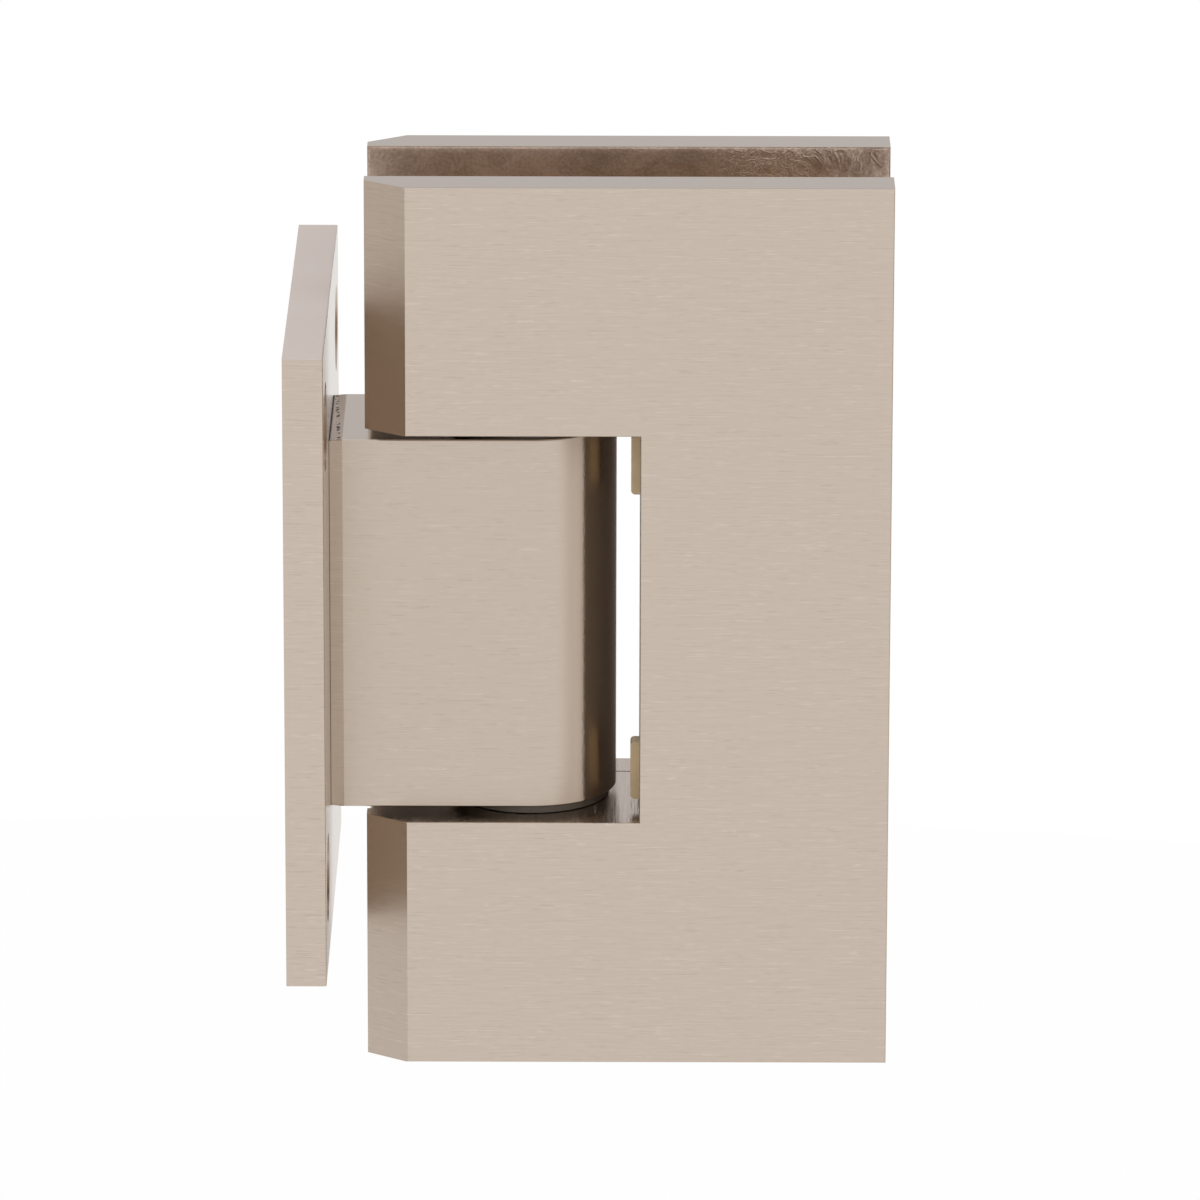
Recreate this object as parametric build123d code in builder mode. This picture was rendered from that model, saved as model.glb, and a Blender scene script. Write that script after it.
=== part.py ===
"""Wall-to-glass shower door hinge: a wall plate with a pivot block, and a glass clamp that swings on it."""

import os

from build123d import *

# Millimetres. X runs from the wall to the door, Y away from the room side, Z up.
# The origin is the middle of the wall plate's wall face, which is the middle of its four screw holes.

# Wall plate
wall_plate_height = 63.0
wall_plate_width = 51.2
wall_plate_thickness = 3.9
wall_hole_spacing_y = 37.0
wall_hole_spacing_z = 45.5
wall_hole_diameter = 5.2
wall_head_diameter = 8.8

# Pivot block
pin_standoff = 19.6
block_height = 37.4
block_thickness = 16.8
block_edge_break = 0.1
block_end_bevel_width = 1.3
block_end_bevel_depth = 0.1

# Glass clamp
clamp_height = 89.0
clamp_width = 51.2
clamp_edge_to_pin = 16.1
clamp_plate_thickness = 4.6
glass_thickness = 10.0
gasket_thickness = 1.0
bevel_width = 4.0
bevel_depth = 2.9
notch_end_gap = 2.3
boss_leg_height = 11.85
boss_band_width = 8.5
boss_setback = 0.5
gasket_inset = 3.7

# Pin and bushes
pin_flat_width = 8.0
pin_end_wall = 1.95
detent_flat_depth = 0.8
detent_flat_margin = 0.85
bush_wall = 1.0
bush_length = 7.0
bush_flange_diameter = 15.4
bush_flange_thickness = 0.85

# Detent plungers and springs
plunger_diameter = 7.9
plunger_length = 7.0
plunger_spacing = 12.4
plunger_nose_chamfer = 0.4
plunger_pocket_diameter = 6.2
plunger_pocket_depth = 3.0
spring_diameter = 5.8
spring_wire = 0.9
spring_turns = 3

# Screws, countersunk, with hexagon sockets
block_screw_diameter = 5.0
block_screw_head = 9.4
block_screw_socket = 3.0
block_screw_length = 12.5
clamp_screw_diameter = 4.0
clamp_screw_head = 7.6
clamp_screw_socket = 2.5
clamp_screw_length = 13.5
clamp_screw_margin = 0.2
screw_socket_depth = 1.8
screw_recess = 0.3
screw_tip_room = 1.0
countersink_angle = 90

# Pads in the notch
pad_height = 5.85
pad_width = 2.0
pad_setback = 5.25
pad_end_gap = 1.15
pad_proud = 0.9
pad_edge_radius = 0.4
pad_seat_depth = 0.6

# Fits and edges
running_clearance = 0.05
screw_clearance = 0.1
gasket_clearance = 0.3
flange_clearance = 0.1
edge_radius = 0.15
seam_edge_break = 0.3

# Sizes that follow from those above
pin_x = wall_plate_thickness + pin_standoff
block_radius = block_thickness / 2
glass_gap = glass_thickness + 2 * gasket_thickness
clamp_half_thickness = glass_gap / 2 + clamp_plate_thickness
clamp_wall_edge = -clamp_edge_to_pin
clamp_door_edge = clamp_wall_edge + clamp_width
notch_height = block_height + 2 * (bush_flange_thickness + flange_clearance)
notch_wall = block_radius + notch_end_gap
boss_height = notch_height + 2 * boss_leg_height
boss_end = notch_wall + boss_band_width
pin_diameter = glass_gap - 2 * running_clearance
bush_bore = pin_diameter + 2 * running_clearance
bush_diameter = bush_bore + 2 * bush_wall
plunger_nose_x = pin_x - pin_diameter / 2 - running_clearance
plunger_back_x = plunger_nose_x - plunger_length
block_screw_hole = block_screw_diameter + 2 * screw_clearance
block_screw_seat = block_screw_head + 2 * (screw_recess + screw_clearance)
clamp_screw_hole = clamp_screw_diameter + 2 * screw_clearance
clamp_screw_seat = clamp_screw_head + 2 * (screw_recess + screw_clearance)
block_screw_spacing = (block_height + plunger_spacing + plunger_diameter) / 2
clamp_screw_spacing_z = notch_height + boss_leg_height
wall_side_screw_x = clamp_wall_edge + bevel_width + clamp_screw_seat / 2 + clamp_screw_margin
door_side_screw_x = (boss_end + pin_flat_width / 2) / 2
clamp_screw_offsets_x = (wall_side_screw_x, door_side_screw_x)
pin_tongue_length = boss_leg_height - pin_end_wall
pin_length = notch_height + 2 * pin_tongue_length
block_hole_depth = block_screw_length - wall_plate_thickness + screw_tip_room
clamp_hole_depth = clamp_screw_length - clamp_plate_thickness + screw_tip_room
detent_flat_length = plunger_spacing + plunger_diameter + 2 * detent_flat_margin
pad_y = pad_setback - clamp_half_thickness
upper_pad_bottom = notch_height / 2 - pad_end_gap - pad_height
lower_pad_bottom = pad_end_gap - notch_height / 2


def clamp_plane(depth):
    """Upright plane facing the room at the given depth, with its origin on the pin axis."""
    return Plane(origin=(pin_x, depth, 0), x_dir=(1, 0, 0), z_dir=(0, -1, 0))


def rear_facing_plane(depth):
    """Upright plane facing away from the room, with its origin on the pin axis."""
    return Plane(origin=(pin_x, depth, 0), x_dir=(-1, 0, 0), z_dir=(0, 1, 0))


def wall_facing_plane(x):
    """Upright plane facing the wall at the given distance from it."""
    return Plane(origin=(x, 0, 0), x_dir=(0, -1, 0), z_dir=(-1, 0, 0))


def door_facing_plane(x):
    """Upright plane facing the door at the given distance from the wall."""
    return Plane(origin=(x, 0, 0), x_dir=(0, 1, 0), z_dir=(1, 0, 0))


def level_plane(height):
    """Level plane at the given height, with its origin on the pin axis."""
    return Plane(origin=(pin_x, 0, height))


def countersunk_screws(label, planes, diameter, head, socket, length):
    """Countersunk socket screws, one on each plane, with the shanks running inward."""
    cone_depth = (head - diameter) / 2
    with BuildPart() as screws:
        with BuildSketch(*planes):
            Circle(head / 2)
        extrude(amount=-cone_depth, taper=countersink_angle / 2)
        with BuildSketch(*planes):
            Circle(diameter / 2)
        extrude(amount=-length)
        with BuildSketch(*planes):
            RegularPolygon(socket / 2, 6, major_radius=False)
        extrude(amount=-screw_socket_depth, mode=Mode.SUBTRACT)
    screws.part.label = label
    return screws.part


def countersink(hole, mouth):
    """Through hole with a countersunk mouth, both given as diameters."""
    CounterSinkHole(hole / 2, mouth / 2, counter_sink_angle=countersink_angle)


def bush(label, side):
    """Flanged plastic bush at the top or bottom of the block."""
    block_face = side * block_height / 2
    with BuildPart() as sleeve:
        with BuildSketch(level_plane(block_face)):
            Circle(bush_diameter / 2)
        extrude(amount=-side * bush_length)
        with BuildSketch(level_plane(block_face)):
            Circle(bush_flange_diameter / 2)
        extrude(amount=side * bush_flange_thickness)
        with BuildSketch(level_plane(0)):
            Circle(bush_bore / 2)
        extrude(amount=side * block_height, mode=Mode.SUBTRACT)
    sleeve.part.label = label
    return sleeve.part


def plunger(label, side):
    """Sprung plunger that bears on the pin's flats, hollow at the back for its spring."""
    height = side * plunger_spacing / 2
    nose = door_facing_plane(plunger_nose_x)
    back = wall_facing_plane(plunger_back_x)
    with BuildPart() as body:
        with BuildSketch(nose):
            with Locations((0, height)):
                Circle(plunger_diameter / 2)
        extrude(amount=-plunger_length)
        chamfer(body.edges().group_by(Axis.X)[-1], plunger_nose_chamfer)
        with BuildSketch(back):
            with Locations((0, height)):
                Circle(plunger_pocket_diameter / 2)
        extrude(amount=-plunger_pocket_depth, mode=Mode.SUBTRACT)
    body.part.label = label
    return body.part


def spring(label, side):
    """Square-wire coil spring between the wall plate and the bottom of the plunger's pocket."""
    first_x = wall_plate_thickness + spring_wire / 2 + running_clearance
    last_x = plunger_back_x + plunger_pocket_depth - spring_wire / 2 - running_clearance
    with BuildPart() as coil:
        with BuildLine() as path:
            Helix(
                pitch=(last_x - first_x) / spring_turns,
                height=last_x - first_x,
                radius=(spring_diameter - spring_wire) / 2,
                center=(first_x, 0, side * plunger_spacing / 2),
                direction=(1, 0, 0),
            )
        with BuildSketch(path.line ^ 0):
            Rectangle(spring_wire, spring_wire)
        sweep(is_frenet=True)
    coil.part.label = label
    return coil.part


def pad(label, bottom):
    """Clear bumper pad, seated in a shallow pocket in the notch's inner wall."""
    with BuildPart() as strip:
        with BuildSketch(level_plane(bottom)):
            with Locations((notch_wall - pad_proud, pad_y)):
                Rectangle(pad_proud + pad_seat_depth, pad_width, align=(Align.MIN, Align.CENTER))
        extrude(amount=pad_height)
        fillet(strip.edges().filter_by(Axis.Y).group_by(Axis.X)[0], pad_edge_radius)
    strip.part.label = label
    return strip.part


def clamp_blank(side):
    """Clamp plate with its bevel and its notch for the block; side is -1 at the front and 1 at the rear."""
    inner = side * glass_gap / 2
    outer = side * clamp_half_thickness
    bevel_end = side * (clamp_half_thickness - bevel_depth)
    bevel_line = clamp_wall_edge + bevel_width
    with BuildPart() as blank:
        with BuildSketch(level_plane(-clamp_height / 2)):
            with BuildLine():
                Polyline(
                    (clamp_wall_edge, inner),
                    (clamp_wall_edge, bevel_end),
                    (bevel_line, outer),
                    (clamp_door_edge, outer),
                    (clamp_door_edge, inner),
                    close=True,
                )
            make_face()
        extrude(amount=clamp_height)
        with BuildSketch(clamp_plane(0)):
            with Locations((notch_wall, 0)):
                Rectangle(clamp_width, notch_height, align=(Align.MAX, Align.CENTER))
        extrude(amount=clamp_half_thickness, both=True, mode=Mode.SUBTRACT)
        # The outer face's edges are softened, apart from the crisp line of the bevel.
        outer_edges = blank.edges().filter_by_position(Axis.Y, outer - edge_radius, outer + edge_radius)
        upright = outer_edges.filter_by(Axis.Z)
        crisp = upright.filter_by_position(Axis.X, pin_x + bevel_line - 1, pin_x + bevel_line + 1)
        fillet(outer_edges - crisp, edge_radius)
    return blank.part


def gasket(label, side):
    """Clear sheet between a clamp plate and the glass, cut to go round the boss."""
    plate_face = side * glass_gap / 2
    with BuildPart() as sheet:
        with BuildSketch(clamp_plane(plate_face)):
            with Locations((clamp_wall_edge + gasket_inset, 0)):
                Rectangle(
                    clamp_width - 2 * gasket_inset,
                    clamp_height - 2 * gasket_inset,
                    align=(Align.MIN, Align.CENTER),
                )
            with Locations((boss_end + gasket_clearance, 0)):
                Rectangle(
                    clamp_width,
                    boss_height + 2 * gasket_clearance,
                    align=(Align.MAX, Align.CENTER),
                    mode=Mode.SUBTRACT,
                )
        extrude(amount=side * gasket_thickness)
    sheet.part.label = label
    return sheet.part


# Wall plate: four countersunk holes from the door side and two from the wall side for the block's screws.
with BuildPart() as wall_plate:
    with BuildSketch(door_facing_plane(0)):
        Rectangle(wall_plate_width, wall_plate_height)
    extrude(amount=wall_plate_thickness)
    door_face = wall_plate.faces().sort_by(Axis.X)[-1]
    fillet(door_face.edges(), edge_radius)
    with Locations(door_facing_plane(wall_plate_thickness)):
        with GridLocations(wall_hole_spacing_y, wall_hole_spacing_z, 2, 2):
            countersink(wall_hole_diameter, wall_head_diameter)
    with Locations(wall_facing_plane(0)):
        with GridLocations(1, block_screw_spacing, 1, 2):
            countersink(block_screw_hole, block_screw_seat)
wall_plate.part.label = "wall_plate"

# Pivot block: a knuckle with a full-round end about the pin, bored for pin, bushes, plungers and screws.
with BuildPart() as pivot_block:
    with BuildSketch(level_plane(-block_height / 2)):
        with BuildLine():
            Line((0, -block_radius), (-pin_standoff, -block_radius))
            Line((-pin_standoff, -block_radius), (-pin_standoff, block_radius))
            Line((-pin_standoff, block_radius), (0, block_radius))
            ThreePointArc((0, block_radius), (block_radius, 0), (0, -block_radius))
        make_face()
    extrude(amount=block_height)
    level_edges = pivot_block.edges().filter_by(Plane.XY)
    against_wall_plate = level_edges.group_by(Axis.X)[0]
    chamfer(level_edges - against_wall_plate, block_edge_break)
    wall_end = pivot_block.faces().sort_by(Axis.X)[0]
    chamfer(wall_end.edges(), block_end_bevel_depth, block_end_bevel_width, reference=wall_end)
    with Locations(level_plane(block_height / 2)):
        Hole(bush_bore / 2 + running_clearance)
    for face_height in (block_height / 2, bush_length - block_height / 2):
        with BuildSketch(level_plane(face_height)):
            Circle(bush_diameter / 2 + running_clearance)
        extrude(amount=-bush_length, mode=Mode.SUBTRACT)
    with Locations(wall_facing_plane(wall_plate_thickness)):
        with GridLocations(1, plunger_spacing, 1, 2):
            Hole(plunger_diameter / 2 + running_clearance, depth=pin_standoff)
        with GridLocations(1, block_screw_spacing, 1, 2):
            Hole(block_screw_hole / 2, depth=block_hole_depth)
pivot_block.part.label = "pivot_block"

# Pivot pin: round in the bushes, with four flats for the plungers and a flat tongue at each end.
with BuildPart() as pivot_pin:
    with BuildSketch(level_plane(-pin_length / 2)):
        Circle(pin_diameter / 2)
    extrude(amount=pin_length)
    detent_reach = pin_diameter / 2 - detent_flat_depth
    with BuildSketch(level_plane(-detent_flat_length / 2)):
        Circle(pin_diameter)
        Rectangle(2 * detent_reach, 2 * detent_reach, mode=Mode.SUBTRACT)
    extrude(amount=detent_flat_length, mode=Mode.SUBTRACT)
    for tongue_foot in (notch_height / 2 - running_clearance, -pin_length / 2):
        with BuildSketch(level_plane(tongue_foot)):
            Circle(pin_diameter)
            Rectangle(pin_flat_width, 2 * pin_diameter, mode=Mode.SUBTRACT)
        extrude(amount=pin_tongue_length + running_clearance, mode=Mode.SUBTRACT)
pivot_pin.part.label = "pivot_pin"

# Front clamp plate: the boss behind it fills the glass gap round the notch and holds the pin's tongues.
with BuildPart() as front_plate:
    add(clamp_blank(-1))
    with BuildSketch(clamp_plane(glass_gap / 2)):
        with Locations((boss_end, 0)):
            Rectangle(boss_end - clamp_wall_edge - boss_setback, boss_height, align=(Align.MAX, Align.CENTER))
        with Locations((notch_wall, 0)):
            Rectangle(clamp_width, notch_height, align=(Align.MAX, Align.CENTER), mode=Mode.SUBTRACT)
    extrude(amount=glass_gap)
    with BuildSketch(clamp_plane(glass_gap / 2)):
        Rectangle(pin_flat_width + 2 * running_clearance, pin_length + 2 * running_clearance)
    extrude(amount=glass_gap, mode=Mode.SUBTRACT)
    with Locations(rear_facing_plane(glass_gap / 2)):
        for screw_x in clamp_screw_offsets_x:
            with Locations((-screw_x, 0)):
                with GridLocations(1, clamp_screw_spacing_z, 1, 2):
                    Hole(clamp_screw_hole / 2, depth=clamp_hole_depth)
    for pad_bottom in (upper_pad_bottom, lower_pad_bottom):
        with BuildSketch(level_plane(pad_bottom - running_clearance)):
            with Locations((notch_wall, pad_y)):
                Rectangle(2 * pad_seat_depth, pad_width + 2 * running_clearance)
        extrude(amount=pad_height + 2 * running_clearance, mode=Mode.SUBTRACT)
front_plate.part.label = "front_plate"

# Rear clamp plate: flat inside, with a broken edge at its seam in the notch and four countersinks outside.
with BuildPart() as rear_plate:
    add(clamp_blank(1))
    inner_face = rear_plate.faces().sort_by(Axis.Y)[0]
    seam = inner_face.edges().filter_by_position(Axis.X, 0, pin_x + notch_wall + edge_radius)
    seam_reach = notch_height / 2 + edge_radius
    chamfer(seam.filter_by_position(Axis.Z, -seam_reach, seam_reach), seam_edge_break)
    with Locations(rear_facing_plane(clamp_half_thickness)):
        for screw_x in clamp_screw_offsets_x:
            with Locations((-screw_x, 0)):
                with GridLocations(1, clamp_screw_spacing_z, 1, 2):
                    countersink(clamp_screw_hole, clamp_screw_seat)
rear_plate.part.label = "rear_plate"

# Screws
block_screw_planes = [
    Plane(origin=(screw_recess, 0, height), z_dir=(-1, 0, 0))
    for height in (-block_screw_spacing / 2, block_screw_spacing / 2)
]
clamp_screw_planes = [
    Plane(origin=(pin_x + screw_x, clamp_half_thickness - screw_recess, height), z_dir=(0, 1, 0))
    for screw_x in clamp_screw_offsets_x
    for height in (-clamp_screw_spacing_z / 2, clamp_screw_spacing_z / 2)
]

pieces = [
    wall_plate.part,
    pivot_block.part,
    pivot_pin.part,
    front_plate.part,
    rear_plate.part,
    countersunk_screws(
        "block_screws",
        block_screw_planes,
        block_screw_diameter,
        block_screw_head,
        block_screw_socket,
        block_screw_length,
    ),
    countersunk_screws(
        "clamp_screws",
        clamp_screw_planes,
        clamp_screw_diameter,
        clamp_screw_head,
        clamp_screw_socket,
        clamp_screw_length,
    ),
    bush("upper_bush", 1),
    bush("lower_bush", -1),
    plunger("upper_plunger", 1),
    plunger("lower_plunger", -1),
    spring("upper_spring", 1),
    spring("lower_spring", -1),
    gasket("front_gasket", -1),
    gasket("rear_gasket", 1),
    pad("upper_pad", upper_pad_bottom),
    pad("lower_pad", lower_pad_bottom),
]
os.makedirs("parts", exist_ok=True)
for piece in pieces:
    export_step(piece, f"parts/{piece.label}.step")
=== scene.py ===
"""Looks of a wall-to-glass shower door hinge in brushed nickel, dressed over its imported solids."""

import math

import bmesh
import bpy
from mathutils import Matrix, Vector


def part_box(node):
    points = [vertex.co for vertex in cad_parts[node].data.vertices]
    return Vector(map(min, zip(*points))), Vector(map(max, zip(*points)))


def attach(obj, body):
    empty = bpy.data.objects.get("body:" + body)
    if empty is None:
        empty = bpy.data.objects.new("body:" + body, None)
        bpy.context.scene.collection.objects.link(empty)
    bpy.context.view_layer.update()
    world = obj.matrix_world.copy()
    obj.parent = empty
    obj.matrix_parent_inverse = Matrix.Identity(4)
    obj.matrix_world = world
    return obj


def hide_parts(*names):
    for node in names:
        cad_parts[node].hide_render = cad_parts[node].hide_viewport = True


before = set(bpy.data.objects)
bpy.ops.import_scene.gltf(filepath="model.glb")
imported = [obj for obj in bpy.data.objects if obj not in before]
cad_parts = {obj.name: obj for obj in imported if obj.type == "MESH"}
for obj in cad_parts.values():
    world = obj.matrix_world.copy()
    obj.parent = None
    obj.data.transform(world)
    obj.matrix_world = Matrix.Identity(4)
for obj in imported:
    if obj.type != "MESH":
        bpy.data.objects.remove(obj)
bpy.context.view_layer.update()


# Wall plate
# A flat brass plate that screws to the wall, sawn from bar, brushed along level lines and nickel plated.
# Four countersunk holes take the wall's screws, and two more from behind take the block's.
nickel_dark = (0.550, 0.465, 0.389)
nickel_light = (0.582, 0.495, 0.417)
nickel_bright_stroke = (0.618, 0.531, 0.452)
nickel_dark_stroke = (0.512, 0.431, 0.359)
nickel_rough_low = 0.20
nickel_rough_high = 0.25
nickel_specular = 0.2
nickel_matt_metal = 0.25
nickel_pull = 1.0
nickel_pull_lean = 0.02
nickel_grain_size = 0.00022
nickel_grain_depth = 1.0e-6
hairline_length = 0.0045
hairline_pitch = 0.00010
hairline_depth = 1.4e-6
hairline_range = (0.30, 0.70)
stroke_stretch = (1.0, 1.0, 0.9)
stroke_range = (0.54, 0.72)
patch_stretch = (3.5, 3.5, 0.2)
patch_range = (0.45, 0.62)
bright_shift = (7.3, 3.1, 11.7)
dark_shift = (2.9, 8.3, 5.1)
no_marks = 0.5
level_margin = 0.00005
wall_half_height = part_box("wall_plate")[1].z
wall_end_rough = 0.6
wall_end_matt = (0.766, 0.686, 0.640)


def put(tree, kind, inputs=None, **settings):
    """Adds a node. Each input takes a value, or is joined to another node's output."""
    node = tree.nodes.new(kind)
    for name, value in settings.items():
        setattr(node, name, value)
    for name, value in (inputs or {}).items():
        if isinstance(value, bpy.types.NodeSocket):
            tree.links.new(value, node.inputs[name])
        else:
            node.inputs[name].default_value = value
    return node


def new_group(name, kind, inputs, outputs):
    """Adds a node group with named sockets, and gives its tree with the sockets at both ends."""
    tree = bpy.data.node_groups.new(name, kind)
    for direction, sockets in (("INPUT", inputs), ("OUTPUT", outputs)):
        for socket_name, socket_type in sockets.items():
            tree.interface.new_socket(name=socket_name, in_out=direction, socket_type=socket_type)
    return tree, tree.nodes.new("NodeGroupInput").outputs, tree.nodes.new("NodeGroupOutput").inputs


def ramp(tree, factor, stops):
    """Colour that runs through the given stops, each a place from 0 to 1 and a colour."""
    node = put(tree, "ShaderNodeValToRGB", {"Fac": factor})
    elements = node.color_ramp.elements
    while len(elements) < len(stops):
        elements.new(1.0)
    for element, (position, colour) in zip(elements, sorted(stops.items())):
        element.position = position
        element.color = (*colour, 1.0)
    return node.outputs["Color"]


def spread(tree, value, low, high, from_low=0.0, from_high=1.0):
    """The value carried from one range to another and held inside it."""
    sizes = {"Value": value, "From Min": from_low, "From Max": from_high, "To Min": low, "To Max": high}
    return put(tree, "ShaderNodeMapRange", sizes).outputs["Result"]


def calc(tree, operation, first, second=0.0):
    """One step of arithmetic between values."""
    return put(tree, "ShaderNodeMath", {0: first, 1: second}, operation=operation).outputs[0]


def axes_of(tree, vector):
    """A vector's X, Y and Z."""
    return put(tree, "ShaderNodeSeparateXYZ", {0: vector}).outputs


def lay_over(tree, mask, under, over):
    """A plain colour laid over another by a mask."""
    return put(tree, "ShaderNodeMixRGB", {0: mask, 1: under, 2: (*over, 1.0)}).outputs[0]


def spots(tree, place, stretch, shift, limits):
    """A mask of spots: a noise, stretched and shifted, that runs from 0 to 1 between two limits."""
    spot = put(tree, "ShaderNodeVectorMath", {0: place, 1: stretch, 2: shift}, operation="MULTIPLY_ADD")
    noise = put(tree, "ShaderNodeTexNoise", {"Vector": spot.outputs[0], "Scale": 1.0, "Detail": 1.0})
    return spread(tree, noise.outputs[0], 0.0, 1.0, *limits)


def brushed_lines_group():
    """Level hairlines, long along X and Y and fine along Z, with patches of bright and of dark strokes."""
    tree, given, result = new_group(
        "brushed_lines",
        "ShaderNodeTree",
        {"Vector": "NodeSocketVector", "Length": "NodeSocketFloat", "Pitch": "NodeSocketFloat"},
        {
            "Hairs": "NodeSocketFloat",
            "Bright Strokes": "NodeSocketFloat",
            "Dark Strokes": "NodeSocketFloat",
        },
    )
    line_size = put(
        tree, "ShaderNodeCombineXYZ", {"X": given["Length"], "Y": given["Length"], "Z": given["Pitch"]}
    )
    place = put(
        tree, "ShaderNodeVectorMath", {0: given["Vector"], 1: line_size.outputs[0]}, operation="DIVIDE"
    ).outputs[0]
    hairs = put(
        tree, "ShaderNodeTexNoise", {"Vector": place, "Scale": 1.0, "Detail": 3.0, "Roughness": 0.6}
    )
    tree.links.new(spread(tree, hairs.outputs[0], 0.0, 1.0, *hairline_range), result["Hairs"])
    for name, shift in (("Bright Strokes", bright_shift), ("Dark Strokes", dark_shift)):
        strokes = spots(tree, place, stroke_stretch, shift, stroke_range)
        patches = spots(tree, place, patch_stretch, shift, patch_range)
        tree.links.new(calc(tree, "MULTIPLY", strokes, patches), result[name])
    return tree


def fine_grain_group():
    """Even grain of a given size, the same in all directions."""
    tree, given, result = new_group(
        "fine_grain",
        "ShaderNodeTree",
        {"Vector": "NodeSocketVector", "Size": "NodeSocketFloat"},
        {"Grain": "NodeSocketFloat"},
    )
    scale = calc(tree, "DIVIDE", 1.0, given["Size"])
    noise = put(tree, "ShaderNodeTexNoise", {"Vector": given["Vector"], "Scale": scale, "Detail": 2.0})
    tree.links.new(noise.outputs[0], result["Grain"])
    return tree


def level_faces_group():
    """A mask of what lies as far above or below the middle as a half height: a piece's top and bottom."""
    tree, given, result = new_group(
        "level_faces",
        "ShaderNodeTree",
        {"Vector": "NodeSocketVector", "Half Height": "NodeSocketFloat"},
        {"Level": "NodeSocketFloat"},
    )
    height = calc(tree, "ABSOLUTE", axes_of(tree, given["Vector"])["Z"])
    limit = calc(tree, "SUBTRACT", given["Half Height"], level_margin)
    tree.links.new(calc(tree, "GREATER_THAN", height, limit), result["Level"])
    return tree


brushed_lines = brushed_lines_group()
fine_grain = fine_grain_group()
level_faces = level_faces_group()


def lines_on(tree, place, length, pitch):
    """Brushed lines at a place on the surface, as masks of hairs and of strokes."""
    sizes = {"Vector": place, "Length": length, "Pitch": pitch}
    return put(tree, "ShaderNodeGroup", sizes, node_tree=brushed_lines).outputs


def grain_on(tree, place, size):
    """Fine grain at a place on the surface."""
    sizes = {"Vector": place, "Size": size}
    return put(tree, "ShaderNodeGroup", sizes, node_tree=fine_grain).outputs["Grain"]


def level_on(tree, place, half_height):
    """The mask of a piece's top and bottom at a place on the surface."""
    sizes = {"Vector": place, "Half Height": half_height}
    return put(tree, "ShaderNodeGroup", sizes, node_tree=level_faces).outputs["Level"]


def new_material(name):
    """Adds a material, and gives it with its tree, its shader and the piece's own coordinates."""
    material = bpy.data.materials.new(name)
    material.use_nodes = True
    tree = material.node_tree
    place = put(tree, "ShaderNodeTexCoord").outputs["Object"]
    return material, tree, tree.nodes["Principled BSDF"].inputs, place


def relief(tree, shader, *layers):
    """Gives the shader small relief, from pairs of a height from 0 to 1 and its depth in metres."""
    normal = None
    for height, depth in layers:
        bump = put(tree, "ShaderNodeBump", {"Height": height, "Distance": depth})
        if normal:
            tree.links.new(normal, bump.inputs["Normal"])
        normal = bump.outputs["Normal"]
    tree.links.new(normal, shader["Normal"])


def brushed_nickel(name, rough_low, rough_high, pull, other_finish):
    """Nickel plate over brushed brass: hairlines that smear reflections up and down, by the given pull.

    other_finish gives the rest of the piece's surface: masks of where it isn't brushed and where it is
    matt, and there its roughness, its tool marks and its matt colour, which in the notch is darkened as
    painted shade.
    """
    material, tree, shader, place = new_material(name)
    hairs, bright, dark = lines_on(tree, place, hairline_length, hairline_pitch).values()
    unbrushed, matt, plain_roughness, marks, matt_colour_and_shade = other_finish(tree, place)
    roughness = spread(tree, unbrushed, spread(tree, hairs, rough_low, rough_high), plain_roughness)
    hairs = spread(tree, unbrushed, hairs, marks)
    bright = spread(tree, unbrushed, bright, 0.0)
    dark = spread(tree, unbrushed, dark, 0.0)
    colour = ramp(tree, hairs, {0.0: nickel_dark, 1.0: nickel_light})
    colour = lay_over(tree, bright, colour, nickel_bright_stroke)
    colour = lay_over(tree, dark, colour, nickel_dark_stroke)
    # The matt colour goes over the brushing; in the notch it is darkened as painted shade.
    colour = lay_over(tree, matt, colour, matt_colour_and_shade)
    tree.links.new(colour, shader["Base Color"])
    tree.links.new(roughness, shader["Roughness"])
    tree.links.new(spread(tree, matt, 1.0, nickel_matt_metal), shader["Metallic"])
    shader["Specular IOR Level"].default_value = nickel_specular
    shader["Anisotropic"].default_value = pull
    across_lines = put(tree, "ShaderNodeCombineXYZ", {"Y": nickel_pull_lean, "Z": 1.0})
    tree.links.new(across_lines.outputs[0], shader["Tangent"])
    grain = grain_on(tree, place, nickel_grain_size)
    relief(tree, shader, (hairs, hairline_depth), (grain, nickel_grain_depth))
    return material


def dress(material, *node_names):
    """Gives solids their finish."""
    for node_name in node_names:
        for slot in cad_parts[node_name].material_slots:
            slot.material = material


def sawn_ends(tree, place):
    """The wall plate's top and bottom, left matt from the saw."""
    ends = level_on(tree, place, wall_half_height)
    return ends, ends, wall_end_rough, no_marks, wall_end_matt


wall_nickel = brushed_nickel(
    "wall_plate_nickel", nickel_rough_low, nickel_rough_high, nickel_pull, sawn_ends
)
dress(wall_nickel, "wall_plate")


# Pivot block
# A solid brass knuckle with a full-round end, milled from bar and bored for the pin and its bushes.
# The brushing belt lifts off part of the way round the end, and leaves small marks by the wall plate.
block_low, block_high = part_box("pivot_block")
block_rough_low = 0.30
block_rough_high = 0.36
block_pull = 0.7
belt_lift = 0.0260
belt_off = 0.0280
belt_end = 0.02866
belt_end_blur = 0.0001
belt_speck_size = 0.00012
belt_speck_reach = 0.0006
block_matt_rough = 0.7
block_matt = (0.710, 0.585, 0.475)
block_smooth_rough = 0.32
block_level_rough = 0.15
block_bevel_width = 0.0013
block_bevel_depth = 0.0001
block_bevel_rough = 0.27
joint_width = 0.00008
joint_width_level = 0.00024
joint_shade = 0.03
tick_place = 0.00067
tick_slant = -0.039
tick_half_width = 0.00025
tick_size = 0.0005
tick_range = (0.50, 0.55)
tick_shade = 0.4


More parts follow.
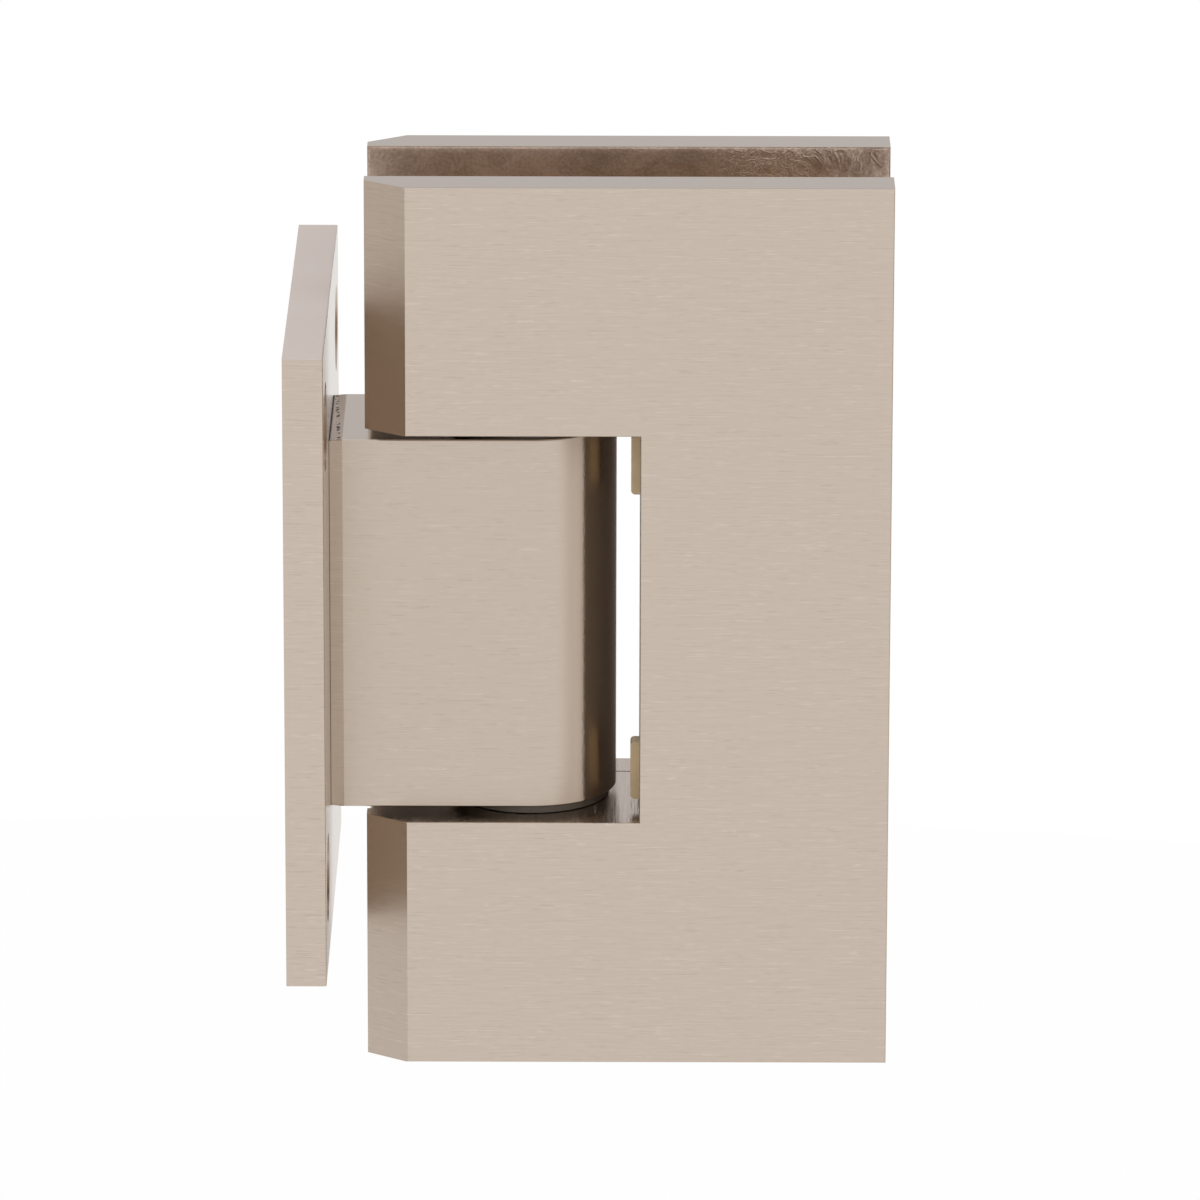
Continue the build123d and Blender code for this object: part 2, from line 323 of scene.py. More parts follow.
def past_belt(tree, place):
    """The block's end, matt where the belt lifts and smooth past it, and its smooth top and bottom."""
    reach = axes_of(tree, place)["X"]
    lifted = spread(tree, reach, 0.0, 1.0, belt_lift, belt_off)
    specks = spread(tree, grain_on(tree, place, belt_speck_size), -belt_speck_reach, belt_speck_reach)
    end = calc(tree, "ADD", reach, specks)
    before_end = spread(tree, end, 1.0, 0.0, belt_end - belt_end_blur, belt_end + belt_end_blur)
    level = level_on(tree, place, block_high.z)
    by_wall = calc(tree, "LESS_THAN", reach, block_low.x + block_bevel_width)
    bevel = calc(tree, "MULTIPLY", by_wall, level_on(tree, place, block_high.z - block_bevel_depth))
    roughness = spread(tree, before_end, block_smooth_rough, block_matt_rough)
    roughness = spread(tree, level, roughness, block_level_rough)
    roughness = spread(tree, bevel, roughness, block_bevel_rough)
    matt = spread(tree, level, calc(tree, "MULTIPLY", lifted, before_end), 0.0)
    unbrushed = calc(tree, "MAXIMUM", lifted, calc(tree, "MAXIMUM", level, bevel))
    return unbrushed, matt, roughness, no_marks, block_matt


def darken_joint(material):
    """The fine dark line where the block stands on the wall plate, and the belt's marks beside it."""
    tree = material.node_tree
    shader = tree.nodes["Principled BSDF"].inputs
    place = put(tree, "ShaderNodeTexCoord").outputs["Object"]
    part = axes_of(tree, place)
    from_wall = calc(tree, "SUBTRACT", part["X"], block_low.x)
    level = level_on(tree, place, block_high.z - block_bevel_depth)
    line_width = spread(tree, level, joint_width, joint_width_level)
    line = spread(tree, from_wall, joint_shade, 1.0, 0.0, line_width)
    row = calc(tree, "ADD", calc(tree, "MULTIPLY", part["Y"], tick_slant), tick_place)
    off_row = calc(tree, "ABSOLUTE", calc(tree, "SUBTRACT", from_wall, row))
    in_row = spread(tree, off_row, 1.0, 0.0, tick_half_width / 2, tick_half_width)
    specks = spread(tree, grain_on(tree, place, tick_size), 0.0, 1.0, *tick_range)
    ticks = calc(tree, "MULTIPLY", calc(tree, "MULTIPLY", level, in_row), specks)
    shade = calc(tree, "MULTIPLY", line, spread(tree, ticks, 1.0, tick_shade))
    sockets = ("Base Color", "Metallic", "Roughness")
    base, metal, roughness = (shader[name].links[0].from_socket for name in sockets)
    colour = put(tree, "ShaderNodeMixRGB", {0: 1.0, 1: base, 2: shade}, blend_type="MULTIPLY").outputs[0]
    tree.links.new(colour, shader["Base Color"])
    tree.links.new(calc(tree, "MULTIPLY", metal, shade), shader["Metallic"])
    dull = calc(tree, "SUBTRACT", 1.0, shade)
    tree.links.new(calc(tree, "MAXIMUM", roughness, dull), shader["Roughness"])


block_nickel = brushed_nickel("block_nickel", block_rough_low, block_rough_high, block_pull, past_belt)
darken_joint(block_nickel)
dress(block_nickel, "pivot_block")


# Block screws
# Two countersunk steel socket screws, turned and thread-rolled, driven from the wall side.
# They pass through the wall plate and pull the block onto it.
block_screws_low, block_screws_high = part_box("block_screws")
block_screw_head = 0.0094
block_screw_shank = 0.0050
block_screw_socket = 0.0030
block_screw_pitch = 0.0008
socket_depth = 0.0018
thread_share = 0.6
screw_segments = 36
rows_per_thread = 6
rim_break = 0.00012
sharp_edge = math.radians(38)
steel_dark = (0.47, 0.46, 0.45)
steel_light = (0.62, 0.61, 0.59)
steel_rough_low = 0.24
steel_rough_high = 0.38
turning_length = 0.004
turning_pitch = 0.00015
turning_depth = 2e-6


def turned_steel(name, axis_turn):
    """Bright steel with turning marks round its axis; axis_turn brings that axis upright."""
    material, tree, shader, place = new_material(name)
    upright = put(tree, "ShaderNodeMapping", {"Vector": place, "Rotation": axis_turn}).outputs["Vector"]
    marks = lines_on(tree, upright, turning_length, turning_pitch)["Hairs"]
    tree.links.new(ramp(tree, marks, {0.0: steel_dark, 1.0: steel_light}), shader["Base Color"])
    tree.links.new(spread(tree, marks, steel_rough_low, steel_rough_high), shader["Roughness"])
    shader["Metallic"].default_value = 1.0
    relief(tree, shader, (marks, turning_depth))
    return material


def hexagon(across, angle):
    """Distance from a hexagon's middle to its side at an angle, for a size across the flats."""
    return across / 2 / math.cos((angle + math.pi / 6) % (math.pi / 3) - math.pi / 6)


def screw_rings(head, shank, socket, length, pitch):
    """Rings from the socket's floor over the head and down the thread, as heights and radius rules."""
    mouth = socket / math.sqrt(3) + rim_break / 2
    neck = (head - shank) / 2
    thread_depth = thread_share * pitch
    yield -socket_depth, lambda angle: hexagon(socket, angle)
    yield -rim_break, lambda angle: hexagon(socket, angle)
    yield 0.0, lambda angle: mouth
    yield 0.0, lambda angle: head / 2 - 2 * rim_break
    yield -rim_break, lambda angle: head / 2 - rim_break
    rows = round((length - neck) / pitch * rows_per_thread)
    for row in range(rows):
        depth = neck + (length - neck) * row / rows
        run_in = min(1.0, (depth - neck) / (2 * pitch))
        tip = max(0.0, 1.0 - (length - depth) / pitch)

        def thread(angle, depth=depth, run_in=run_in, tip=tip):
            turns = (depth / pitch + angle / math.tau) % 1.0
            return shank / 2 - thread_depth * max(run_in * abs(2 * turns - 1), tip)

        yield -depth, thread


def screw_mesh(name, head, shank, socket, length, pitch):
    """One screw with its head's face at the origin and its shank pointing down, as a closed mesh."""
    screw = bmesh.new()
    angles = [math.tau * step / screw_segments for step in range(screw_segments)]
    rings = [
        [screw.verts.new((radius(a) * math.cos(a), radius(a) * math.sin(a), height)) for a in angles]
        for height, radius in screw_rings(head, shank, socket, length, pitch)
    ]
    for upper, lower in zip(rings, rings[1:]):
        for step in range(screw_segments):
            after = (step + 1) % screw_segments
            screw.faces.new((upper[step], lower[step], lower[after], upper[after]))
    for end_ring, end_height in ((rings[0], -socket_depth - rim_break), (rings[-1], -length)):
        pole = screw.verts.new((0.0, 0.0, end_height))
        for step in range(screw_segments):
            screw.faces.new((end_ring[step], end_ring[(step + 1) % screw_segments], pole))
    bmesh.ops.recalc_face_normals(screw, faces=screw.faces)
    mesh = bpy.data.meshes.new(name)
    screw.to_mesh(mesh)
    screw.free()
    mesh.shade_smooth()
    mesh.set_sharp_from_angle(angle=sharp_edge)
    return mesh


def screw_pattern_tree():
    """Sets copies of a screw on a grid of points, then turns and moves the grid into place."""
    tree, given, result = new_group(
        "screw_pattern",
        "GeometryNodeTree",
        {
            "Geometry": "NodeSocketGeometry",
            "Columns": "NodeSocketInt",
            "Rows": "NodeSocketInt",
            "Width": "NodeSocketFloat",
            "Height": "NodeSocketFloat",
            "Turn": "NodeSocketRotation",
            "Place": "NodeSocketVector",
            "Material": "NodeSocketMaterial",
        },
        {"Geometry": "NodeSocketGeometry"},
    )
    points = put(
        tree,
        "GeometryNodeMeshGrid",
        {
            "Vertices X": given["Columns"],
            "Vertices Y": given["Rows"],
            "Size X": given["Width"],
            "Size Y": given["Height"],
        },
    )
    copies = put(
        tree,
        "GeometryNodeInstanceOnPoints",
        {"Points": points.outputs["Mesh"], "Instance": given["Geometry"]},
    )
    placed = put(
        tree,
        "GeometryNodeTransform",
        {"Geometry": copies.outputs[0], "Rotation": given["Turn"], "Translation": given["Place"]},
    )
    solid = put(tree, "GeometryNodeRealizeInstances", {"Geometry": placed.outputs[0]})
    coloured = put(
        tree, "GeometryNodeSetMaterial", {"Geometry": solid.outputs[0], "Material": given["Material"]}
    )
    tree.links.new(coloured.outputs[0], result["Geometry"])
    return tree


def grow(name, mesh, tree, sizes):
    """Runs a geometry tree on a mesh, and gives the result as a plain object."""
    piece = bpy.data.objects.new(name, mesh)
    bpy.context.scene.collection.objects.link(piece)
    modifier = piece.modifiers.new(tree.name, "NODES")
    modifier.node_group = tree
    for socket in tree.interface.items_tree:
        if socket.in_out == "INPUT" and socket.name in sizes:
            modifier[socket.identifier] = sizes[socket.name]
    depsgraph = bpy.context.evaluated_depsgraph_get()
    finished = bpy.data.meshes.new_from_object(piece.evaluated_get(depsgraph), depsgraph=depsgraph)
    piece.modifiers.remove(modifier)
    piece.data = finished
    return piece


screw_pattern = screw_pattern_tree()
block_screws = grow(
    "block_screws_threaded",
    screw_mesh(
        "block_screw",
        block_screw_head,
        block_screw_shank,
        block_screw_socket,
        block_screws_high.x - block_screws_low.x,
        block_screw_pitch,
    ),
    screw_pattern,
    {
        "Columns": 2,
        "Rows": 1,
        "Width": block_screws_high.z - block_screws_low.z - block_screw_head,
        "Turn": (0.0, -math.pi / 2, 0.0),
        "Place": (block_screws_low.x, 0.0, 0.0),
        "Material": turned_steel("block_screw_steel", (0.0, math.pi / 2, 0.0)),
    },
)
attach(block_screws, "wall_bracket")
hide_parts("block_screws")


# Bushes
# Flanged sleeves of grey-brown nylon, moulded, that the pin turns in.
# One is pressed into each end of the block, and its flange keeps the clamp off the block.
nylon_dark = (0.098, 0.081, 0.063)
nylon_light = (0.120, 0.100, 0.080)
nylon_rough_low = 0.45
nylon_rough_high = 0.60
nylon_grain_size = 0.0005
nylon_grain_depth = 1e-5
grain_low = 0.3
grain_high = 0.7


def moulded_nylon():
    """Matt nylon with the fine spark grain of its mould."""
    material, tree, shader, place = new_material("moulded_nylon")
    grain = grain_on(tree, place, nylon_grain_size)
    colour = ramp(tree, grain, {grain_low: nylon_dark, grain_high: nylon_light})
    tree.links.new(colour, shader["Base Color"])
    tree.links.new(spread(tree, grain, nylon_rough_low, nylon_rough_high), shader["Roughness"])
    relief(tree, shader, (grain, nylon_grain_depth))
    return material


dress(moulded_nylon(), "upper_bush", "lower_bush")


# Detent plungers and springs
# Turned steel plungers that press on the pin's flats, each pushed by a square-wire coil spring.
# They slide in bores in the block, and the wall plate closes the bores behind the springs.
detent_steel = turned_steel("detent_steel", (0.0, math.pi / 2, 0.0))
dress(detent_steel, "upper_plunger", "lower_plunger", "upper_spring", "lower_spring")


# Pivot pin
# A ground steel pin with flats for the plungers at mid length and a flat tongue at each end.
# It turns in the bushes, and the clamp's boss holds its tongues.
dress(turned_steel("pin_steel", (0.0, 0.0, 0.0)), "pivot_pin")


# Front clamp plate
# A brass casting with a boss behind it that fills the glass gap, milled for the notch and the pin.
# Its outside is brushed in level lines and nickel plated like the wall plate.
clamp_half_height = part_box("front_plate")[1].z
clamp_end_rough = 0.12
glass_gap_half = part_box("rear_gasket")[1].y
boss_half_height = 0.0315
notch_inner_wall = 0.0342
notch_half_height = 0.01965
notch_floor_rough = 0.12
notch_wall_rough = 0.7
# The notch wall is matt, and its colour is made darker than the plating as painted shade inside the narrow
# notch.
notch_wall_matt_and_painted_shade = (0.330, 0.275, 0.226)
rubbed_rough = 0.27
rubbed_end = 0.0321
rubbed_blur = 0.0002
drag_length = 0.006
drag_pitch = 0.0003
drag_rise = 6.0


def in_notch(tree, place):
    """The notch's matt wall, its colour darkened as painted shade, its floor and ceiling, rubbed near the
    bushes, and the clamp's level ends.
    """
    part = axes_of(tree, place)
    height = calc(tree, "ABSOLUTE", part["Z"])
    between = calc(tree, "LESS_THAN", height, notch_half_height + level_margin)
    before_wall = calc(tree, "LESS_THAN", part["X"], notch_inner_wall + level_margin)
    at_wall = calc(tree, "GREATER_THAN", part["X"], notch_inner_wall - level_margin)
    inside = calc(tree, "MULTIPLY", between, before_wall)
    in_gap = calc(tree, "LESS_THAN", calc(tree, "ABSOLUTE", part["Y"]), glass_gap_half - level_margin)
    boss_ends = calc(tree, "MULTIPLY", in_gap, level_on(tree, place, boss_half_height))
    ends = calc(tree, "MAXIMUM", boss_ends, level_on(tree, place, clamp_half_height))
    turned = put(tree, "ShaderNodeMapping", {"Vector": place, "Rotation": (0.0, math.pi / 2, 0.0)})
    drag = lines_on(tree, turned.outputs["Vector"], drag_length, drag_pitch)["Hairs"]
    drag = spread(tree, drag, no_marks - drag_rise, no_marks + drag_rise)
    rubbed_edge = (rubbed_end - rubbed_blur, rubbed_end + rubbed_blur)
    roughness = spread(tree, part["X"], rubbed_rough, notch_floor_rough, *rubbed_edge)
    roughness = spread(tree, at_wall, roughness, notch_wall_rough)
    # The notch wall's mask carries its matt colour, darkened as painted shade.
    return (
        calc(tree, "MAXIMUM", inside, ends),
        calc(tree, "MULTIPLY", inside, at_wall),
        spread(tree, ends, roughness, clamp_end_rough),
        spread(tree, ends, drag, no_marks),
        notch_wall_matt_and_painted_shade,
    )


clamp_nickel = brushed_nickel("clamp_nickel", nickel_rough_low, nickel_rough_high, nickel_pull, in_notch)
dress(clamp_nickel, "front_plate")


# Pads in the notch
# Small blocks of soft amber vinyl, cut from strip, that stop the block from knocking on the clamp.
# They sit in shallow pockets in the notch's inner wall.
vinyl_dark = (0.570, 0.427, 0.243)
vinyl_light = (0.655, 0.498, 0.294)
vinyl_rough_low = 0.34
vinyl_rough_high = 0.46
vinyl_cloud_size = 0.003
vinyl_grain_size = 0.0004
vinyl_grain_depth = 4e-6


def amber_vinyl():
    """Soft half-clear vinyl with faint clouds in it."""
    material, tree, shader, place = new_material("amber_vinyl")
    cloud = grain_on(tree, place, vinyl_cloud_size)
    colour = ramp(tree, cloud, {grain_low: vinyl_dark, grain_high: vinyl_light})
    tree.links.new(colour, shader["Base Color"])
    tree.links.new(spread(tree, cloud, vinyl_rough_low, vinyl_rough_high), shader["Roughness"])
    relief(tree, shader, (grain_on(tree, place, vinyl_grain_size), vinyl_grain_depth))
    return material


vinyl = amber_vinyl()
dress(vinyl, "upper_pad", "lower_pad")


# Gaskets
# Thin sheets of the same vinyl, punched to go round the boss, one on each side of the glass.
# The clamp squeezes them, so that brass never touches glass.
dress(vinyl, "front_gasket", "rear_gasket")


# Rear clamp plate
# The second half of the clamp, cast in brass, brushed and plated outside.
# Four screws from behind pull it to the boss, with the glass between.
dress(clamp_nickel, "rear_plate")


# Cast faces inside the clamp
# The two plates' inner faces keep the pebbled skin of the casting, plated but not brushed.
# Towards the door edge the metal chilled unevenly and left ripples and wrinkles.
plate_low, plate_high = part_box("rear_plate")
gasket_low, gasket_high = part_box("rear_gasket")
boss_door_face = 0.0427
cast_margin = 0.0003
cast_step = 0.00022
cast_edge_fade = 0.0004
cast_edge_lift = 0.00002
cast_edge_inset = 0.00002
cast_thickness = 0.0001
lump_size = 0.0012
lump_depth = 0.00007
ripple_size = 0.0026
ripple_depth = 0.00010
ripple_rise = 4.0
ripple_start = 0.043
ripple_full = 0.051
# The skin's colours are browner and darker than the plating outside: partly the skin's own tone, partly
# painted shade of the glass gap between the plates.
cast_dark_with_shade = (0.355, 0.265, 0.210)
cast_light_with_shade = (0.550, 0.423, 0.345)
cast_tone_low = 0.36
cast_tone_high = 0.60
cast_rough_low = 0.40
cast_rough_high = 0.52
cast_pebble_size = 0.00030
cast_pebble_depth = 1.6e-5
cast_blotch_size = 0.004
crest_width = 0.06
wrinkle_size = 0.0024
wrinkle_depth = 5e-5
wrinkle_low = 0.0425
wrinkle_high = 0.0438
wrinkle_inner_share = 0.3
net_size = 0.0008
net_depth = 1.5e-5
net_start = 0.040
net_end = 0.050
net_fade = 0.003


def off_middle(tree, noise):
    """How far a noise is from its middle value."""
    return calc(tree, "ABSOLUTE", calc(tree, "SUBTRACT", noise.outputs[0], 0.5))


def crests(tree, place, size):
    """Thin raised lines that wander over the surface, about a size apart."""
    shape = {"Vector": place, "Scale": 1 / size, "Detail": 2.0, "Distortion": 1.0}
    noise = put(tree, "ShaderNodeTexNoise", shape)
    return spread(tree, off_middle(tree, noise), 1.0, 0.0, 0.0, crest_width)


def cast_nickel():
    """Plated casting skin: rough and finely pebbled, wrinkled towards the door edge; its brown colour is
    partly the skin's own tone and partly painted shade of the glass gap.
    """
    material, tree, shader, place = new_material("cast_nickel")
    pebbles = grain_on(tree, place, cast_pebble_size)
    blotches = grain_on(tree, place, cast_blotch_size)
    tone = calc(tree, "MULTIPLY", calc(tree, "ADD", pebbles, blotches), 0.5)
    # Random tone of the skin, over colours darkened as painted shade of the glass gap.
    colour = ramp(tree, tone, {cast_tone_low: cast_dark_with_shade, cast_tone_high: cast_light_with_shade})
    tree.links.new(colour, shader["Base Color"])
    tree.links.new(spread(tree, pebbles, cast_rough_high, cast_rough_low), shader["Roughness"])
    shader["Metallic"].default_value = 1.0
    part = axes_of(tree, place)
    height = calc(tree, "ABSOLUTE", part["Z"])
    near_end = spread(tree, height, wrinkle_inner_share, 1.0, wrinkle_low, wrinkle_high)
    near_door = spread(tree, part["X"], 0.0, 1.0, ripple_start, ripple_full)
    wrinkled = calc(tree, "MULTIPLY", near_end, near_door)
    wrinkles = calc(tree, "MULTIPLY", crests(tree, place, wrinkle_size), wrinkled)
    past_start = spread(tree, part["X"], 0.0, 1.0, net_start, net_start + net_fade)
    before_end = spread(tree, part["X"], 1.0, 0.0, net_end, net_end + net_fade)
    netted = calc(tree, "MULTIPLY", past_start, before_end)
    net = calc(tree, "MULTIPLY", crests(tree, place, net_size), netted)
    relief(tree, shader, (pebbles, cast_pebble_depth), (wrinkles, wrinkle_depth), (net, net_depth))
    return material


def cast_skin_tree():
    """A pebbled skin over a plate's inner face, left open where the gasket and the boss lie."""
    tree, given, result = new_group(
        "cast_skin",
        "GeometryNodeTree",
        {
            "Low X": "NodeSocketFloat",
            "High X": "NodeSocketFloat",
            "Half Height": "NodeSocketFloat",
            "Gasket Low X": "NodeSocketFloat",
            "Gasket High X": "NodeSocketFloat",
            "Gasket Half Height": "NodeSocketFloat",
            "Boss High X": "NodeSocketFloat",
            "Boss Half Height": "NodeSocketFloat",
            "Step": "NodeSocketFloat",
            "Turn": "NodeSocketRotation",
            "Depth": "NodeSocketFloat",
            "Material": "NodeSocketMaterial",
        },
        {"Geometry": "NodeSocketGeometry"},
    )
    width = calc(tree, "SUBTRACT", given["High X"], given["Low X"])
    height = calc(tree, "MULTIPLY", given["Half Height"], 2.0)
    sheet = put(
        tree,
        "GeometryNodeMeshGrid",
        {
            "Size X": width,
            "Size Y": height,
            "Vertices X": calc(tree, "DIVIDE", width, given["Step"]),
            "Vertices Y": calc(tree, "DIVIDE", height, given["Step"]),
        },
    )
    middle = calc(tree, "MULTIPLY", calc(tree, "ADD", given["Low X"], given["High X"]), 0.5)
    sheet = put(
        tree,
        "GeometryNodeTransform",
        {
            "Geometry": sheet.outputs["Mesh"],
            "Translation": put(tree, "ShaderNodeCombineXYZ", {"X": middle}).outputs[0],
        },
    )
    place = put(tree, "GeometryNodeInputPosition").outputs[0]
    part = axes_of(tree, place)
    x = part["X"]
    z = calc(tree, "ABSOLUTE", part["Y"])
    past_gasket_x = calc(
        tree,
        "MAXIMUM",
        calc(tree, "SUBTRACT", given["Gasket Low X"], x),
        calc(tree, "SUBTRACT", x, given["Gasket High X"]),
    )
    past_gasket_z = calc(tree, "SUBTRACT", z, given["Gasket Half Height"])
    past_gasket = calc(tree, "MAXIMUM", past_gasket_x, past_gasket_z)
    past_boss = calc(
        tree,
        "MAXIMUM",
        calc(tree, "SUBTRACT", x, given["Boss High X"]),
        calc(tree, "SUBTRACT", z, given["Boss Half Height"]),
    )
    clear_of_both = calc(tree, "MINIMUM", past_gasket, past_boss)
    covered = calc(tree, "LESS_THAN", clear_of_both, 0.0)
    inside_x = calc(
        tree,
        "MINIMUM",
        calc(tree, "SUBTRACT", x, given["Low X"]),
        calc(tree, "SUBTRACT", given["High X"], x),
    )
    inside = calc(tree, "MINIMUM", inside_x, calc(tree, "SUBTRACT", given["Half Height"], z))
    from_edge = calc(tree, "MINIMUM", inside, clear_of_both)
    fade = spread(tree, from_edge, 0.0, 1.0, 0.0, cast_edge_fade)
    open_sheet = put(
        tree,
        "GeometryNodeDeleteGeometry",
        {"Geometry": sheet.outputs[0], "Selection": covered},
    )
    lumps = put(tree, "ShaderNodeTexNoise", {"Vector": place, "Scale": 1 / lump_size, "Detail": 2.0})
    ripples = put(
        tree,
        "ShaderNodeTexNoise",
        {"Vector": place, "Scale": 1 / ripple_size, "Detail": 3.0, "Distortion": 1.2},
    )
    folds = calc(tree, "MULTIPLY", off_middle(tree, ripples), ripple_rise)
    ripple_share = spread(tree, x, 0.0, ripple_depth, ripple_start, ripple_full)
    rise = calc(
        tree,
        "ADD",
        calc(tree, "MULTIPLY", lumps.outputs[0], lump_depth),
        calc(tree, "MULTIPLY", folds, ripple_share),
    )
    lift = calc(tree, "ADD", calc(tree, "MULTIPLY", rise, fade), cast_edge_lift)
    raised = put(
        tree,
        "GeometryNodeSetPosition",
        {
            "Geometry": open_sheet.outputs[0],
            "Offset": put(tree, "ShaderNodeCombineXYZ", {"Z": lift}).outputs[0],
        },
    )
    smooth = put(tree, "GeometryNodeSetShadeSmooth", {"Geometry": raised.outputs[0]})
    placed = put(
        tree,
        "GeometryNodeTransform",
        {
            "Geometry": smooth.outputs[0],
            "Rotation": given["Turn"],
            "Translation": put(tree, "ShaderNodeCombineXYZ", {"Y": given["Depth"]}).outputs[0],
        },
    )
    solid = put(tree, "GeometryNodeRealizeInstances", {"Geometry": placed.outputs[0]})
    coloured = put(
        tree, "GeometryNodeSetMaterial", {"Geometry": solid.outputs[0], "Material": given["Material"]}
    )
    tree.links.new(coloured.outputs[0], result["Geometry"])
    return tree


cast_skin = cast_skin_tree()
cast_finish = cast_nickel()
for skin_name, face_depth, turn in (
    ("front_plate_skin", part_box("front_gasket")[0].y, -math.pi / 2),
    ("rear_plate_skin", gasket_high.y, math.pi / 2),
):
    skin = grow(
        skin_name,
        bpy.data.meshes.new(skin_name),
        cast_skin,
        {
            "Low X": plate_low.x + cast_edge_inset,
            "High X": plate_high.x - cast_edge_inset,
            "Half Height": plate_high.z - cast_edge_inset,
            "Gasket Low X": gasket_low.x,
            "Gasket High X": gasket_high.x,
            "Gasket Half Height": gasket_high.z,
            "Boss High X": boss_door_face + cast_margin,
            "Boss Half Height": boss_half_height + cast_margin,
            "Step": cast_step,
            "Turn": (turn, 0.0, 0.0),
            "Depth": face_depth,
            "Material": cast_finish,
        },
    )
    backing = skin.modifiers.new("backing", "SOLIDIFY")
    backing.thickness = cast_thickness
    backing.offset = -1.0
    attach(skin, "door_clamp")


# Clamp screws
# Four countersunk steel socket screws, smaller than the block's but made in the same way.
# They pass through the rear plate into the boss and squeeze the glass.
clamp_screws_low, clamp_screws_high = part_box("clamp_screws")
clamp_screw_head = 0.0076
clamp_screw_shank = 0.0040
clamp_screw_socket = 0.0025
clamp_screw_pitch = 0.0007
clamp_screws = grow(
    "clamp_screws_threaded",
    screw_mesh(
        "clamp_screw",
        clamp_screw_head,
        clamp_screw_shank,
        clamp_screw_socket,
        clamp_screws_high.y - clamp_screws_low.y,
        clamp_screw_pitch,
    ),
    screw_pattern,
    {
        "Columns": 2,
        "Rows": 2,
        "Width": clamp_screws_high.x - clamp_screws_low.x - clamp_screw_head,
        "Height": clamp_screws_high.z - clamp_screws_low.z - clamp_screw_head,
        "Turn": (-math.pi / 2, 0.0, 0.0),
        "Place": ((clamp_screws_low.x + clamp_screws_high.x) / 2, clamp_screws_high.y, 0.0),
        "Material": turned_steel("clamp_screw_steel", (math.pi / 2, 0.0, 0.0)),
    },
)
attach(clamp_screws, "door_clamp")
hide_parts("clamp_screws")


# Floor
# A plain pale table, well below the part, so that only a faint soft shadow falls on it.
# It is white where it is seen or mirrored.
floor_radius = 0.55
floor_segments = 96
floor_height = -0.20
floor_white_share = 0.97
floor_light = (0.95, 0.95, 0.95)
floor_dark = (0.93, 0.93, 0.93)
floor_mottle_size = 0.05


def pale_floor():
    """White where it is seen or mirrored, with a share of plain paint that keeps the shadow."""
    material, tree, _, place = new_material("pale_floor")
    path = put(tree, "ShaderNodeLightPath").outputs
    seen = calc(tree, "ADD", path["Is Camera Ray"], path["Is Glossy Ray"])
    seen = calc(tree, "MINIMUM", calc(tree, "ADD", seen, path["Is Transmission Ray"]), 1.0)
    mottle = grain_on(tree, place, floor_mottle_size)
    colour = ramp(tree, mottle, {grain_low: floor_light, grain_high: floor_dark})
    paint = put(tree, "ShaderNodeBsdfDiffuse", {"Color": colour})
    glow = put(tree, "ShaderNodeEmission", {"Color": (1.0, 1.0, 1.0, 1.0), "Strength": 1.0})
    glow_share = calc(tree, "MULTIPLY", seen, floor_white_share)
    upper_side = put(tree, "ShaderNodeMixShader", {0: glow_share, 1: paint.outputs[0], 2: glow.outputs[0]})
    clear = put(tree, "ShaderNodeBsdfTransparent")
    underside = put(tree, "ShaderNodeNewGeometry").outputs["Backfacing"]
    surface = put(
        tree, "ShaderNodeMixShader", {0: underside, 1: upper_side.outputs[0], 2: clear.outputs[0]}
    )
    tree.links.new(surface.outputs[0], tree.nodes["Material Output"].inputs["Surface"])
    return material


disc = bmesh.new()
bmesh.ops.create_circle(disc, cap_ends=True, segments=floor_segments, radius=floor_radius)
disc.transform(Matrix.Translation((0, 0, floor_height)))
floor_mesh = bpy.data.meshes.new("floor")
disc.to_mesh(floor_mesh)
disc.free()
floor_mesh.materials.append(pale_floor())
floor = bpy.data.objects.new("floor", floor_mesh)
bpy.context.scene.collection.objects.link(floor)


# Studio light
# White all round: full in front, a little less behind, with a dimmer and warmer stretch at each side.
# Below the horizon behind the part it is the white of the table. Seen directly it is plain white.
front_light = (1.05, 1.05, 1.05)
left_light = (0.69, 0.66, 0.63)
right_light = (0.38, 0.28, 0.20)
back_light = (0.715, 0.715, 0.735)
table_light = (1.0, 1.0, 1.0)
horizon_blur = 0.15


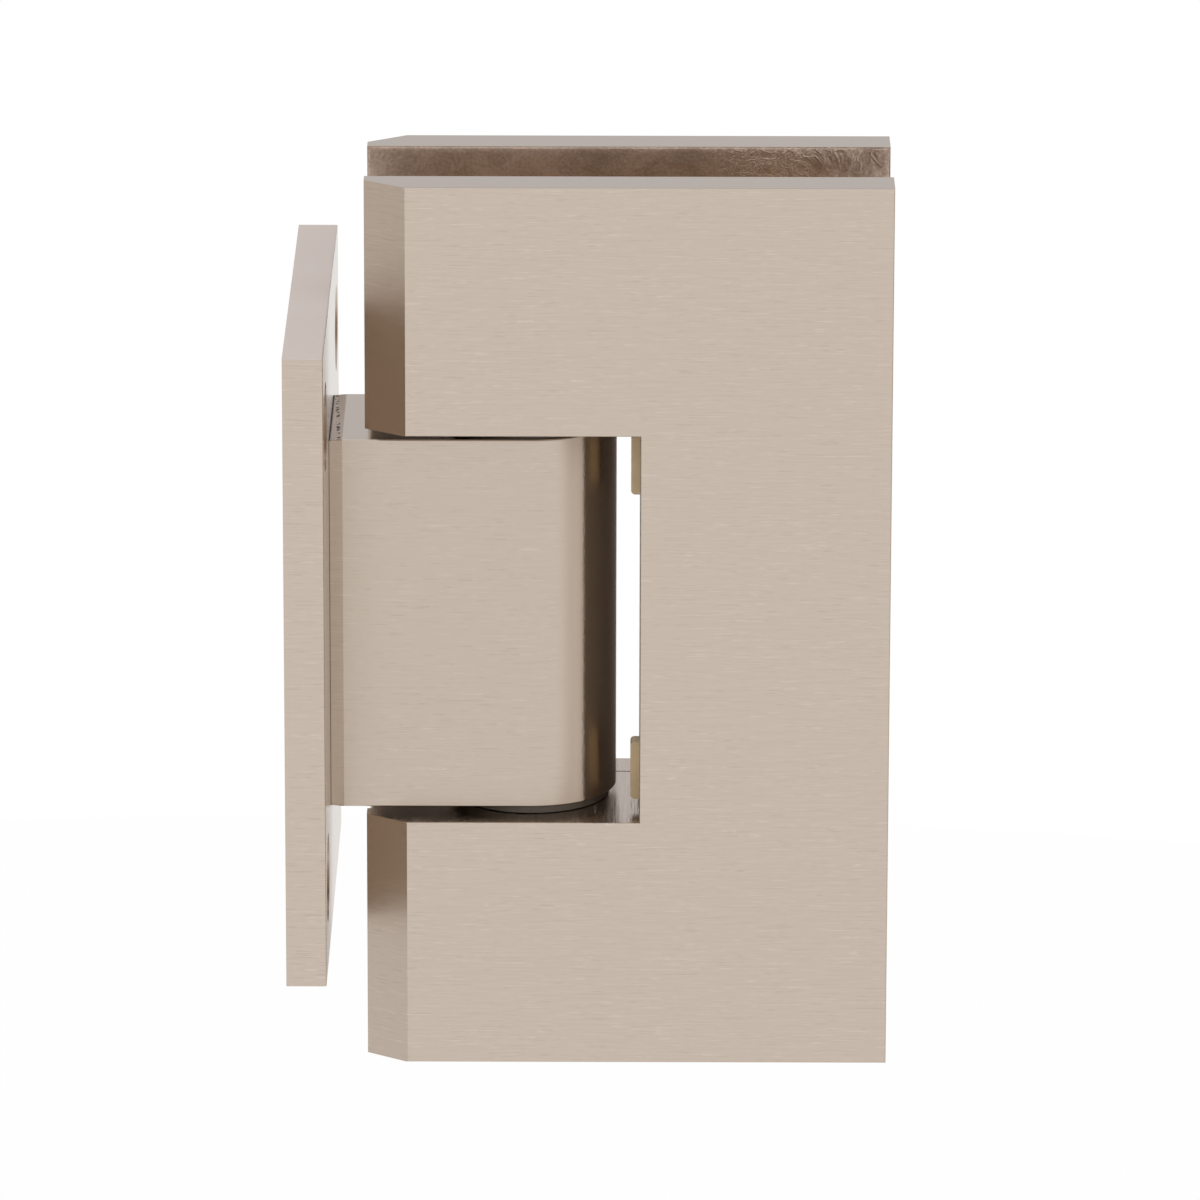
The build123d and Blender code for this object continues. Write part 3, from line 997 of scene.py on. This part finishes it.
def tones_round(behind):
    """Tones by bearing, from behind the part round by its left, front and right."""
    return {
        0.0: behind,
        0.22: behind,
        0.27: left_light,
        0.31: left_light,
        0.33: front_light,
        0.67: front_light,
        0.69: right_light,
        0.76: right_light,
        0.81: behind,
        1.0: behind,
    }


world = bpy.data.worlds.new("studio")
bpy.context.scene.world = world
world.use_nodes = True
sky = world.node_tree
direction = axes_of(sky, put(sky, "ShaderNodeTexCoord").outputs["Generated"])
toward_front = calc(sky, "MULTIPLY", direction["Y"], -1.0)
bearing = calc(sky, "ARCTAN2", direction["X"], toward_front)
way_round = spread(sky, bearing, 0.0, 1.0, -math.pi, math.pi)
below_horizon = spread(sky, direction["Z"], 1.0, 0.0, -horizon_blur, 0.0)
above = ramp(sky, way_round, tones_round(back_light))
below = ramp(sky, way_round, tones_round(table_light))
tones = put(sky, "ShaderNodeMixRGB", {0: below_horizon, 1: above, 2: below})
lit = put(sky, "ShaderNodeBackground", {"Color": tones.outputs[0]})
white = put(sky, "ShaderNodeBackground", {"Color": (1.0, 1.0, 1.0, 1.0)})
by_camera = put(sky, "ShaderNodeLightPath").outputs["Is Camera Ray"]
backdrop = put(sky, "ShaderNodeMixShader", {0: by_camera, 1: lit.outputs[0], 2: white.outputs[0]})
sky.links.new(backdrop.outputs[0], sky.nodes["World Output"].inputs["Surface"])


# Camera
# A long lens a little above the part and square to its front face.
# It stands far enough off for the upright edges to stay nearly parallel.
camera_place = Vector((0.03153, -0.90738, 0.27117))
camera_yaw = math.radians(-0.0791)
camera_pitch = math.radians(-16.638)
camera_roll = math.radians(0.1237)
camera_sensor = 36.0
camera_lens = 288.37
camera = bpy.data.objects.new("camera", bpy.data.cameras.new("camera"))
camera.data.sensor_width = camera_sensor
camera.data.lens = camera_lens
level_view = Matrix.Rotation(-camera_yaw, 4, "Z") @ Matrix.Rotation(math.pi / 2 + camera_pitch, 4, "X")
camera.matrix_world = Matrix.Translation(camera_place) @ level_view @ Matrix.Rotation(camera_roll, 4, "Z")
bpy.context.scene.collection.objects.link(camera)
bpy.context.scene.camera = camera
bpy.context.scene.view_settings.view_transform = "Standard"
